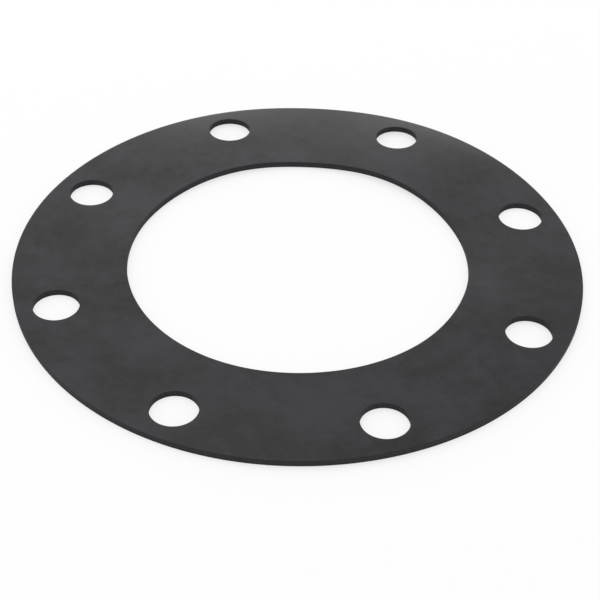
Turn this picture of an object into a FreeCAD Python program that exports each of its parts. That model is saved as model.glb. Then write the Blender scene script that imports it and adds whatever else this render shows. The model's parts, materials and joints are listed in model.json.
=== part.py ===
import FreeCAD, Part
import os

import Sketcher

# Full-face flange gasket for a 6 inch pipe with eight-bolt flanges.
# It is one flat ring cut from rubber sheet: a bore as wide as the pipe is outside, a sealing band round it,
# then a circle of bolt holes and a narrow rim out to the flange's edge. Every edge is cut square.
# Millimetres, +Z up. The origin is at the centre of the face that lies on the floor, and the bolt holes
# straddle the X and Y axes, as they do on the flange.

SIZES = (
    ("bore_diameter", 168.3, "the pipe's outside diameter"),
    ("sealing_width", 25.4, "sheet between the bore and the bolt holes"),
    ("bolt_hole_diameter", 22.2, "clears a 3/4 inch bolt"),
    ("bolt_hole_count", 8, "evenly spaced round the bolt circle"),
    ("rim_width", 7.95, "sheet left outside the bolt holes"),
    ("sheet_thickness", 3.2, "1/8 inch sheet"),
)

# Each circle of the gasket follows from the band inside it. The bolt circle comes to 241.3 mm across, and
# the outer edge to 279.4 mm.
BORE_RADIUS = "size.bore_diameter / 2"
BOLT_HOLE_RADIUS = "size.bolt_hole_diameter / 2"
BOLT_CIRCLE_RADIUS = f"{BORE_RADIUS} + size.sealing_width + {BOLT_HOLE_RADIUS}"
OUTER_RADIUS = f"{BOLT_CIRCLE_RADIUS} + {BOLT_HOLE_RADIUS} + size.rim_width"
HALF_HOLE_PITCH = "180 deg / size.bolt_hole_count"

CENTRE = FreeCAD.Vector(0, 0, 0)
UP = FreeCAD.Vector(0, 0, 1)

# How a sketch names its own X axis and origin, and the points of a line or circle in it.
SKETCH_X_AXIS = -1
LINE_START = 1
LINE_END = 2
CIRCLE_CENTRE = 3
SKETCH_ORIGIN = (SKETCH_X_AXIS, LINE_START)


def origin_part(body, role):
    """The plane or axis of a body's own origin that has this role."""
    return next(part for part in body.Origin.OriginFeatures if part.Role == role)


def lower_face_sketch(body, name):
    """An empty sketch on the plane of the sheet's lower face."""
    sketch = body.newObject("Sketcher::SketchObject", name)
    sketch.AttachmentSupport = (origin_part(body, "XY_Plane"), [""])
    sketch.MapMode = "FlatFace"
    return sketch


def dimension(sketch, name, kind, measured, expression):
    """Gives what is measured a named dimension that follows the spreadsheet."""
    value = sketch.evalExpression(expression)
    index = sketch.addConstraint(Sketcher.Constraint(kind, *measured, value))
    sketch.renameConstraint(index, name)
    sketch.setExpression(f"Constraints.{name}", expression)


def circle(sketch, name, radius, centre, pinned_to):
    """A circle of this radius, its centre pinned to a point of the sketch."""
    edge = sketch.addGeometry(Part.Circle(centre, UP, sketch.evalExpression(radius)), False)
    sketch.addConstraint(Sketcher.Constraint("Coincident", edge, CIRCLE_CENTRE, *pinned_to))
    dimension(sketch, name, "Radius", (edge,), radius)


doc = FreeCAD.newDocument("flange_gasket")

size = doc.addObject("Spreadsheet::Sheet", "size")
for row, (name, value, note) in enumerate(SIZES, start=1):
    size.set(f"A{row}", name)
    size.set(f"B{row}", str(value))
    size.set(f"C{row}", note)
    size.setAlias(f"B{row}", name)
doc.recompute()

gasket = doc.addObject("PartDesign::Body", "gasket")
gasket.Label = "gasket"

# The ring, cut from the sheet along its outer edge and round its bore.
ring_sketch = lower_face_sketch(gasket, "ring_sketch")
circle(ring_sketch, "outer_edge", OUTER_RADIUS, CENTRE, SKETCH_ORIGIN)
circle(ring_sketch, "bore", BORE_RADIUS, CENTRE, SKETCH_ORIGIN)
ring = gasket.newObject("PartDesign::Pad", "ring")
ring.Profile = ring_sketch
ring.setExpression("Length", "size.sheet_thickness")

# One bolt hole, on a spoke that stands half a hole pitch round from the X axis and ends on the bolt circle.
hole_sketch = lower_face_sketch(gasket, "hole_sketch")
turn = FreeCAD.Rotation(UP, hole_sketch.evalExpression(HALF_HOLE_PITCH).Value)
hole_centre = turn.multVec(FreeCAD.Vector(hole_sketch.evalExpression(BOLT_CIRCLE_RADIUS), 0, 0))
spoke = hole_sketch.addGeometry(Part.LineSegment(CENTRE, hole_centre), True)
hole_sketch.addConstraint(Sketcher.Constraint("Coincident", spoke, LINE_START, *SKETCH_ORIGIN))
dimension(hole_sketch, "half_hole_pitch", "Angle", (*SKETCH_ORIGIN, spoke, LINE_START), HALF_HOLE_PITCH)
dimension(hole_sketch, "bolt_circle", "Distance", (spoke,), BOLT_CIRCLE_RADIUS)
circle(hole_sketch, "bolt_hole", BOLT_HOLE_RADIUS, hole_centre, (spoke, LINE_END))
bolt_hole = gasket.newObject("PartDesign::Pocket", "bolt_hole")
bolt_hole.Profile = hole_sketch
bolt_hole.Type = "ThroughAll"
bolt_hole.Reversed = True

# The same hole, repeated evenly round the bolt circle.
bolt_holes = gasket.newObject("PartDesign::PolarPattern", "bolt_holes")
bolt_holes.Originals = [bolt_hole]
bolt_holes.Axis = (origin_part(gasket, "Z_Axis"), [""])
bolt_holes.Angle = 360
bolt_holes.setExpression("Occurrences", "size.bolt_hole_count")
gasket.Tip = bolt_holes
doc.recompute()

for item in doc.Objects:
    if "Invalid" in item.State or "Error" in item.State:
        raise RuntimeError(f"{item.Name} did not recompute: {item.State}")
if gasket.Shape.isNull() or not gasket.Shape.isValid() or len(gasket.Shape.Solids) != 1:
    raise RuntimeError("the gasket is not one valid solid")

# Every hole of the pattern takes out as much rubber as the first one does.
one_hole = ring.Shape.Volume - bolt_hole.Shape.Volume
all_holes = ring.Shape.Volume - gasket.Shape.Volume
if one_hole <= 0 or round(all_holes / one_hole, 2) != size.bolt_hole_count:
    raise RuntimeError(f"the holes take out {all_holes:.1f} mm3, and the first one {one_hole:.1f} mm3")

os.makedirs("parts", exist_ok=True)
gasket.Shape.exportStep(f"parts/{gasket.Label}.step")
box = gasket.Shape.BoundBox
print(f"{gasket.Label}: {box.XLength:.2f} x {box.YLength:.2f} x {box.ZLength:.2f} mm")
print(f"{len(gasket.Shape.Faces)} faces, {gasket.Shape.Volume:.0f} mm3")
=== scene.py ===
import json
import math

import bmesh
import bpy
from mathutils import Matrix, Vector


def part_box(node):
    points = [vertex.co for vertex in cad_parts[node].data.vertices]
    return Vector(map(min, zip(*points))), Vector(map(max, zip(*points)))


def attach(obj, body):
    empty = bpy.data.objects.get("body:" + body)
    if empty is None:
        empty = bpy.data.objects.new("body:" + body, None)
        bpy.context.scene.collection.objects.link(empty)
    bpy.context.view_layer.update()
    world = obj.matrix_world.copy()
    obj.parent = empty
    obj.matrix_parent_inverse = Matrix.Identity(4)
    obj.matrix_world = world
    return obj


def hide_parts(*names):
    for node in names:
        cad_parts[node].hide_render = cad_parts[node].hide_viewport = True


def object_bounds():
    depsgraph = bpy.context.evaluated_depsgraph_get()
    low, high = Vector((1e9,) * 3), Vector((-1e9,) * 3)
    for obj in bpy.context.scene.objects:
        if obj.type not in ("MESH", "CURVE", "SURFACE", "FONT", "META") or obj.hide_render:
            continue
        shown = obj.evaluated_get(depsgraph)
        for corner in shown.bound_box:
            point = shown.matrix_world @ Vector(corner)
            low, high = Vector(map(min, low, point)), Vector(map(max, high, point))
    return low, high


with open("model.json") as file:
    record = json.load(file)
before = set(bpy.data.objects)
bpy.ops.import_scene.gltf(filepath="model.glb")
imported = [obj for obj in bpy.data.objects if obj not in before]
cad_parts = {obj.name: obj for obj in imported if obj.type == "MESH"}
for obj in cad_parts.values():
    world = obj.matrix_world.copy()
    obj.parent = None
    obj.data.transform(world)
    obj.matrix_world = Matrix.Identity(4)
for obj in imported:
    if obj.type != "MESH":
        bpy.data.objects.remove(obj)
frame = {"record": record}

cad_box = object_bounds()
scene = bpy.context.scene
scene.view_settings.view_transform = "Standard"

# The photographer's camera. It looks down on the ring from in front, a little round to the right, through
# a short telephoto lens, and is tipped about a degree off level.
MM = 0.001
CAMERA_TURN = math.radians(3.58)
CAMERA_ELEVATION = math.radians(37.7)
CAMERA_DISTANCE = 722 * MM
CAMERA_ROLL = math.radians(1.11)
CAMERA_LENS_MM = 87.6
AIM_POINT = Vector((3.3 * MM, -31.9 * MM, 3.2 * MM))

view_axis = Matrix.Rotation(CAMERA_TURN, 3, "Z") @ Vector(
    (0, -math.cos(CAMERA_ELEVATION), math.sin(CAMERA_ELEVATION))
)
camera = bpy.data.objects.new("camera", bpy.data.cameras.new("camera"))
camera.data.lens = CAMERA_LENS_MM
camera.location = Vector((0, 0, cad_box[1].z)) + CAMERA_DISTANCE * view_axis
level_view = (AIM_POINT - camera.location).to_track_quat("-Z", "Y")
camera.rotation_euler = (level_view.to_matrix() @ Matrix.Rotation(CAMERA_ROLL, 3, "Z")).to_euler()
scene.collection.objects.link(camera)
scene.camera = camera

# The table that the gasket lies on: a wide white matt sweep. An exposure for black rubber burns it out to
# white, so it is seen mostly as a plain white glow, and the rest of it keeps the gasket's shadow.
FLOOR_HALF_SIZE = 4.5
FLOOR_GAP = 0.02 * MM
FLOOR_WHITE = "#FBFBFB"
FLOOR_GLOW = 0.7

floor_mesh = bpy.data.meshes.new("floor")
bm = bmesh.new()
bmesh.ops.create_grid(bm, size=FLOOR_HALF_SIZE, matrix=Matrix.Translation((0, 0, -FLOOR_GAP)))
bm.to_mesh(floor_mesh)
bm.free()
floor = bpy.data.objects.new("floor", floor_mesh)
scene.collection.objects.link(floor)


def linear(hex_colour):
    """An sRGB hex colour as the linear colour that the shaders use."""
    shares = [int(hex_colour[i : i + 2], 16) / 255 for i in (1, 3, 5)]
    return [s / 12.92 if s <= 0.04045 else ((s + 0.055) / 1.055) ** 2.4 for s in shares] + [1.0]


def add_node(tree, kind, settings=None, links=None):
    """Adds a shader node, sets its properties and plain sockets, and links sockets from other nodes."""
    node = tree.nodes.new(kind)
    for name, value in (settings or {}).items():
        if isinstance(name, str) and hasattr(node, name):
            setattr(node, name, value)
        else:
            node.inputs[name].default_value = value
    for name, source in (links or {}).items():
        tree.links.new(source, node.inputs[name])
    return node


def empty_tree(owner):
    """The node tree of a material or world, switched on and emptied for its own shader."""
    owner.use_nodes = True
    owner.node_tree.nodes.clear()
    return owner.node_tree


def seen_rays(tree):
    """One where a ray shows a thing to the camera, straight or in a gloss or a glass, and zero elsewhere."""
    rays = add_node(tree, "ShaderNodeLightPath")
    straight_or_gloss = add_node(
        tree, "ShaderNodeMath", {"operation": "MAXIMUM"},
        {0: rays.outputs["Is Camera Ray"], 1: rays.outputs["Is Glossy Ray"]},
    )
    return add_node(
        tree, "ShaderNodeMath", {"operation": "MAXIMUM"},
        {0: straight_or_gloss.outputs[0], 1: rays.outputs["Is Transmission Ray"]},
    ).outputs[0]


matt_white = bpy.data.materials.new("matt_white_paper_sweep")
tree = empty_tree(matt_white)
paper = add_node(tree, "ShaderNodeBsdfDiffuse", {"Color": linear(FLOOR_WHITE)})
glow = add_node(tree, "ShaderNodeEmission", {"Strength": 1.0})
glow_share = add_node(tree, "ShaderNodeMapRange", {"To Max": FLOOR_GLOW}, {"Value": seen_rays(tree)})
burnt_out = add_node(
    tree, "ShaderNodeMixShader", links={0: glow_share.outputs[0], 1: paper.outputs[0], 2: glow.outputs[0]}
)
add_node(tree, "ShaderNodeOutputMaterial", links={"Surface": burnt_out.outputs[0]})
floor_mesh.materials.append(matt_white)

# The light of a white studio: an even dome, one large softbox overhead and a low one behind the ring,
# whose reflection is the soft sheen along the far rim.
DOME_LEVEL = 0.85
DOME_SEEN_LEVEL = 0.98

world = bpy.data.worlds.new("white_studio")
tree = empty_tree(world)
dome_level = add_node(
    tree, "ShaderNodeMapRange", {"To Min": DOME_LEVEL, "To Max": DOME_SEEN_LEVEL}, {"Value": seen_rays(tree)}
)
dome = add_node(
    tree, "ShaderNodeBackground", {"Color": (1, 1, 1, 1)}, {"Strength": dome_level.outputs[0]}
)
add_node(tree, "ShaderNodeOutputWorld", links={"Surface": dome.outputs[0]})
scene.world = world


def softbox(name, width, height, power, place, aim):
    """A rectangular softbox that faces the aim point. Its sizes are in metres, and its power in watts."""
    lamp = bpy.data.lights.new(name, "AREA")
    lamp.shape = "RECTANGLE"
    lamp.size = width
    lamp.size_y = height
    lamp.energy = power
    box = bpy.data.objects.new(name, lamp)
    box.location = place
    box.rotation_euler = (Vector(aim) - Vector(place)).to_track_quat("-Z", "Y").to_euler()
    scene.collection.objects.link(box)


softbox("overhead_softbox", width=1.6, height=1.6, power=10.5, place=(-0.5, 0.85, 2.3), aim=(0, 0, 0))
softbox("back_softbox", width=1.2, height=0.35, power=2.5, place=(-0.2, 1.6, 0.5), aim=(0, 0.1, 0))

# The gasket itself: one ring cut with a knife from calendered black EPDM rubber sheet, so its edges are
# square and a little hollow. It lies as sheet does that was rolled up for a time: mostly flat on the
# floor, with low rises round the ring.
mounts = {mount["name"]: mount["dims"] for mount in frame["record"]["mounts"]}
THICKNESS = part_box("gasket")[1].z
RIM_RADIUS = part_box("gasket")[1].x
BORE_RADIUS = mounts["pipe_bore"]["r_mm"] * MM
BOLT_CIRCLE_RADIUS = mounts["bolt_holes"]["pcd_mm"] / 2 * MM
BOLT_HOLE_RADIUS = mounts["bolt_holes"]["hole_r_mm"] * MM
BOLT_HOLE_COUNT = mounts["bolt_holes"]["count"]
HOLE_PITCH = math.tau / BOLT_HOLE_COUNT
EDGE_RADIUS = 0.3 * MM
EDGE_SEGMENTS = 3
EDGE_HOLLOW = 0.1 * MM
# Each rise: the angle of its middle, half its width, and its height in mm at the bore and at the rim.
# Between the two the sheet first bends a little the other way, and it is steepest at the rim.
RISES = (
    (60, 41, 2.05, 1.4),
    (117, 40, 1.35, 0.8),
    (168, 62, 0.5, 1.0),
    (284, 46, 0.5, 0.6),
    (340, 26, 0.55, 0.1),
)
RIM_BEND_POWER = 3
COUNTER_BEND = 1.5
# The grid of cells on the lower face, the rings of cells round a bolt hole, and the rows up a cut wall.
CELLS_ACROSS = 36
CELLS_PER_PITCH = 64
PATCH_CELLS = 20
PATCH_RINGS = 4
WALL_ROWS = 6
# An edge that bends more than the first is a cut corner. A face whose normal points up or down less than the
# second is part of a cut wall.
CORNER_BEND = math.radians(60)
WALL_NORMAL_TILT = 0.3
CALENDERED_SLOT = 0
CUT_SLOT = 1

cell_width = (RIM_RADIUS - BORE_RADIUS) / CELLS_ACROSS
hole_places = [
    Matrix.Rotation((turn + 0.5) * HOLE_PITCH, 4, "Z") @ Matrix.Translation((BOLT_CIRCLE_RADIUS, 0, 0))
    for turn in range(BOLT_HOLE_COUNT)
]

# The lower face is swept round from one row of points between bore and rim.
bm = bmesh.new()
row_ends = [bm.verts.new((radius, 0, 0)) for radius in (BORE_RADIUS, RIM_RADIUS)]
row = bm.edges.new(row_ends)
bmesh.ops.subdivide_edges(bm, edges=[row], cuts=CELLS_ACROSS - 1)
bmesh.ops.spin(
    bm, geom=bm.verts[:] + bm.edges[:], axis=(0, 0, 1), cent=(0, 0, 0), angle=math.tau,
    steps=CELLS_PER_PITCH * BOLT_HOLE_COUNT, use_merge=True,
)

# Round each bolt hole, a square patch of cells gives way to rings that run in to the hole's edge.
first_patch_cell = round((BOLT_CIRCLE_RADIUS - BORE_RADIUS) / cell_width - PATCH_CELLS / 2)
patch_bore_side = BORE_RADIUS + first_patch_cell * cell_width
patch_rim_side = patch_bore_side + PATCH_CELLS * cell_width
patch_half_turn = PATCH_CELLS / 2 / CELLS_PER_PITCH * HOLE_PITCH


def in_patch(point):
    """Whether a point of the lower face lies in the patch round a bolt hole."""
    off_spoke = math.atan2(point.y, point.x) % HOLE_PITCH - HOLE_PITCH / 2
    return abs(off_spoke) < patch_half_turn and patch_bore_side < point.xy.length < patch_rim_side


patches = [face for face in bm.faces if in_patch(face.calc_center_median())]
bmesh.ops.delete(bm, geom=patches, context="FACES")
for place in hole_places:
    centre = place.translation
    bmesh.ops.create_circle(bm, radius=BOLT_HOLE_RADIUS, segments=4 * PATCH_CELLS, matrix=place)
    hole_rim = [edge for edge in bm.edges if edge.is_wire]
    patch_rim = [
        edge for edge in bm.edges
        if len(edge.link_faces) == 1
        and (edge.verts[0].co - centre).length < patch_rim_side - patch_bore_side
        and BORE_RADIUS + cell_width / 2 < edge.verts[0].co.xy.length < RIM_RADIUS - cell_width / 2
    ]
    bridge = bmesh.ops.bridge_loops(bm, edges=patch_rim + hole_rim)
    spokes = [edge for edge in bridge["edges"] if edge not in hole_rim and edge not in patch_rim]
    bmesh.ops.subdivide_edges(bm, edges=spokes, cuts=PATCH_RINGS - 1, use_grid_fill=True)

# The sheet gets its thickness, a small round on every cut corner and rows of points on its cut walls.
bmesh.ops.recalc_face_normals(bm, faces=bm.faces[:])
upper = bmesh.ops.extrude_face_region(bm, geom=bm.faces[:], use_keep_orig=True)["geom"]
upper_verts = [item for item in upper if isinstance(item, bmesh.types.BMVert)]
bmesh.ops.translate(bm, verts=upper_verts, vec=(0, 0, THICKNESS))
bmesh.ops.recalc_face_normals(bm, faces=bm.faces[:])
corners = [edge for edge in bm.edges if edge.calc_face_angle(0) > CORNER_BEND]
bmesh.ops.bevel(
    bm, geom=corners, offset=EDGE_RADIUS, segments=EDGE_SEGMENTS, profile=0.5, affect="EDGES", material=-1
)
uprights = [edge for edge in bm.edges if abs(edge.verts[0].co.z - edge.verts[1].co.z) > THICKNESS / 2]
bmesh.ops.subdivide_edges(bm, edges=uprights, cuts=WALL_ROWS - 1, use_grid_fill=True)

# The knife pressed the walls in a little between their corners.
bm.normal_update()
wall_height = THICKNESS - 2 * EDGE_RADIUS
hollows = {}
for vert in bm.verts:
    up_the_wall = (vert.co.z - THICKNESS / 2) / (wall_height / 2)
    if abs(up_the_wall) < 1:
        hollows[vert] = EDGE_HOLLOW * (1 - up_the_wall**2) * vert.normal
for vert, hollow in hollows.items():
    vert.co -= hollow


def rise_at(point):
    """How far the sheet stands off the floor at a point of the ring."""
    angle = math.degrees(math.atan2(point.y, point.x))
    towards_rim = (point.xy.length - BORE_RADIUS) / (RIM_RADIUS - BORE_RADIUS)
    rim_bend = towards_rim**RIM_BEND_POWER
    rim_share = rim_bend + COUNTER_BEND * (rim_bend - towards_rim)
    height = 0
    for middle, half_width, at_bore, at_rim in RISES:
        off_middle = ((angle - middle + 180) % 360 - 180) / half_width
        if abs(off_middle) < 1:
            swell = 0.5 + 0.5 * math.cos(math.pi * off_middle)
            height += (at_bore + (at_rim - at_bore) * rim_share) * swell * MM
    return height


for vert in bm.verts:
    vert.co.z += rise_at(vert.co)

for face in bm.faces:
    face.smooth = True
    face.material_index = CUT_SLOT if abs(face.normal.z) < WALL_NORMAL_TILT else CALENDERED_SLOT
sheet_mesh = bpy.data.meshes.new("rubber_gasket")
bm.to_mesh(sheet_mesh)
bm.free()
sheet = bpy.data.objects.new("rubber_gasket", sheet_mesh)
scene.collection.objects.link(sheet)
sheet.modifiers.new("flat_face_normals", "WEIGHTED_NORMAL")

# Calendered EPDM rubber, black with carbon through and through. The press cloth gave it a fine even grain,
# and the rolls drew faint lines along the sheet. A bluish bloom clouds it, in large patches and small. It
# is dull from above, and takes a satin sheen at low angles.
RUBBER_BLACK = "#040506"
RUBBER_BLOOM = "#1F1F25"
# Matched to how little of the white studio the sheet mirrors. Plain rubber is nearer 1.5.
RUBBER_IOR = 1.37
CLEAN_DULLNESS = 0.26
BLOOMED_DULLNESS = 0.34
LINE_DULLNESS = 0.05
# Where on the roll the ring was cut decides which clouds and lines it has.
PLACE_ON_ROLL = (-1089 * MM, -19 * MM, 0)
BLOOM_PATCH = 34 * MM
BLOOM_PATCH_WEIGHT = 1.2
BLOOM_MOTTLE = 6 * MM
BLOOM_STARTS = 0.85
BLOOM_FULL = 1.35
ROLL_LINE = 1.6 * MM
ROLL_LINE_STRETCH = 22
ROLL_LINE_STARTS = 0.3
ROLL_LINE_FULL = 0.7
ROLL_DIRECTION = math.radians(-63)
GRAIN = 0.7 * MM
GRAIN_DEPTH = 0.009 * MM

calendered = bpy.data.materials.new("calendered_black_epdm_rubber")
tree = empty_tree(calendered)
on_ring = add_node(tree, "ShaderNodeTexCoord").outputs["Object"]
on_roll = add_node(tree, "ShaderNodeMapping", {"Location": PLACE_ON_ROLL}, {"Vector": on_ring}).outputs[0]
large_clouds = add_node(
    tree, "ShaderNodeTexNoise", {"Scale": 1 / BLOOM_PATCH, "Detail": 2.0, "Roughness": 0.5},
    {"Vector": on_roll},
)
small_clouds = add_node(
    tree, "ShaderNodeTexNoise", {"Scale": 1 / BLOOM_MOTTLE, "Detail": 4.0, "Roughness": 0.65},
    {"Vector": on_roll},
)
clouds = add_node(
    tree, "ShaderNodeMath", {"operation": "MULTIPLY_ADD", 1: BLOOM_PATCH_WEIGHT},
    {0: large_clouds.outputs["Fac"], 2: small_clouds.outputs["Fac"]},
)
bloom = add_node(
    tree, "ShaderNodeMapRange", {"From Min": BLOOM_STARTS, "From Max": BLOOM_FULL},
    {"Value": clouds.outputs[0]},
)
colour = add_node(
    tree, "ShaderNodeMix", {"data_type": "RGBA", 6: linear(RUBBER_BLACK), 7: linear(RUBBER_BLOOM)},
    {"Factor": bloom.outputs[0]},
)
along_rolls = add_node(
    tree, "ShaderNodeMapping",
    {"vector_type": "TEXTURE", "Rotation": (0, 0, ROLL_DIRECTION), "Scale": (1, ROLL_LINE_STRETCH, 1)},
    {"Vector": on_roll},
)
roll_lines = add_node(
    tree, "ShaderNodeTexNoise", {"Scale": 1 / ROLL_LINE, "Detail": 2.0, "Roughness": 0.6},
    {"Vector": along_rolls.outputs[0]},
)
clouded_dullness = add_node(
    tree, "ShaderNodeMapRange", {"To Min": CLEAN_DULLNESS, "To Max": BLOOMED_DULLNESS},
    {"Value": bloom.outputs[0]},
)
lined_dullness = add_node(
    tree, "ShaderNodeMapRange",
    {"From Min": ROLL_LINE_STARTS, "From Max": ROLL_LINE_FULL, "To Max": LINE_DULLNESS},
    {"Value": roll_lines.outputs["Fac"]},
)
dullness = add_node(
    tree, "ShaderNodeMath", {"operation": "ADD"},
    {0: clouded_dullness.outputs[0], 1: lined_dullness.outputs[0]},
)
grain = add_node(
    tree, "ShaderNodeTexNoise", {"Scale": 1 / GRAIN, "Detail": 3.0, "Roughness": 0.6}, {"Vector": on_roll}
)
dimples = add_node(
    tree, "ShaderNodeBump", {"Strength": 1.0, "Distance": GRAIN_DEPTH}, {"Height": grain.outputs["Fac"]}
)
shader = add_node(
    tree, "ShaderNodeBsdfPrincipled", {"IOR": RUBBER_IOR},
    {"Base Color": colour.outputs[2], "Roughness": dullness.outputs[0], "Normal": dimples.outputs[0]},
)
add_node(tree, "ShaderNodeOutputMaterial", links={"Surface": shader.outputs[0]})
sheet_mesh.materials.append(calendered)

# The same rubber where the knife went through. The blade left it dull, with no bloom on it yet, and greyer
# along fine upright drag marks.
DRAG_GREY = "#2A2B2E"
CUT_DULLNESS = 0.7
DRAG_MARK = 0.5 * MM
DRAG_STRETCH = 16
DRAG_STARTS = 0.1
DRAG_FULL = 0.75
DRAG_DEPTH = 0.04 * MM

cut = bpy.data.materials.new("knife_cut_black_epdm_rubber")
tree = empty_tree(cut)
on_ring = add_node(tree, "ShaderNodeTexCoord").outputs["Object"]
along_cut = add_node(
    tree, "ShaderNodeMapping", {"Scale": (1, 1, 1 / DRAG_STRETCH)}, {"Vector": on_ring}
)
drags = add_node(
    tree, "ShaderNodeTexNoise", {"Scale": 1 / DRAG_MARK, "Detail": 2.0}, {"Vector": along_cut.outputs[0]}
)
dragged = add_node(
    tree, "ShaderNodeMapRange", {"From Min": DRAG_STARTS, "From Max": DRAG_FULL},
    {"Value": drags.outputs["Fac"]},
)
colour = add_node(
    tree, "ShaderNodeMix", {"data_type": "RGBA", 6: linear(RUBBER_BLACK), 7: linear(DRAG_GREY)},
    {"Factor": dragged.outputs[0]},
)
ridges = add_node(
    tree, "ShaderNodeBump", {"Strength": 1.0, "Distance": DRAG_DEPTH}, {"Height": drags.outputs["Fac"]}
)
shader = add_node(
    tree, "ShaderNodeBsdfPrincipled", {"Roughness": CUT_DULLNESS, "IOR": RUBBER_IOR},
    {"Base Color": colour.outputs[2], "Normal": ridges.outputs[0]},
)
add_node(tree, "ShaderNodeOutputMaterial", links={"Surface": shader.outputs[0]})
sheet_mesh.materials.append(cut)

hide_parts("gasket")
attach(sheet, "root")
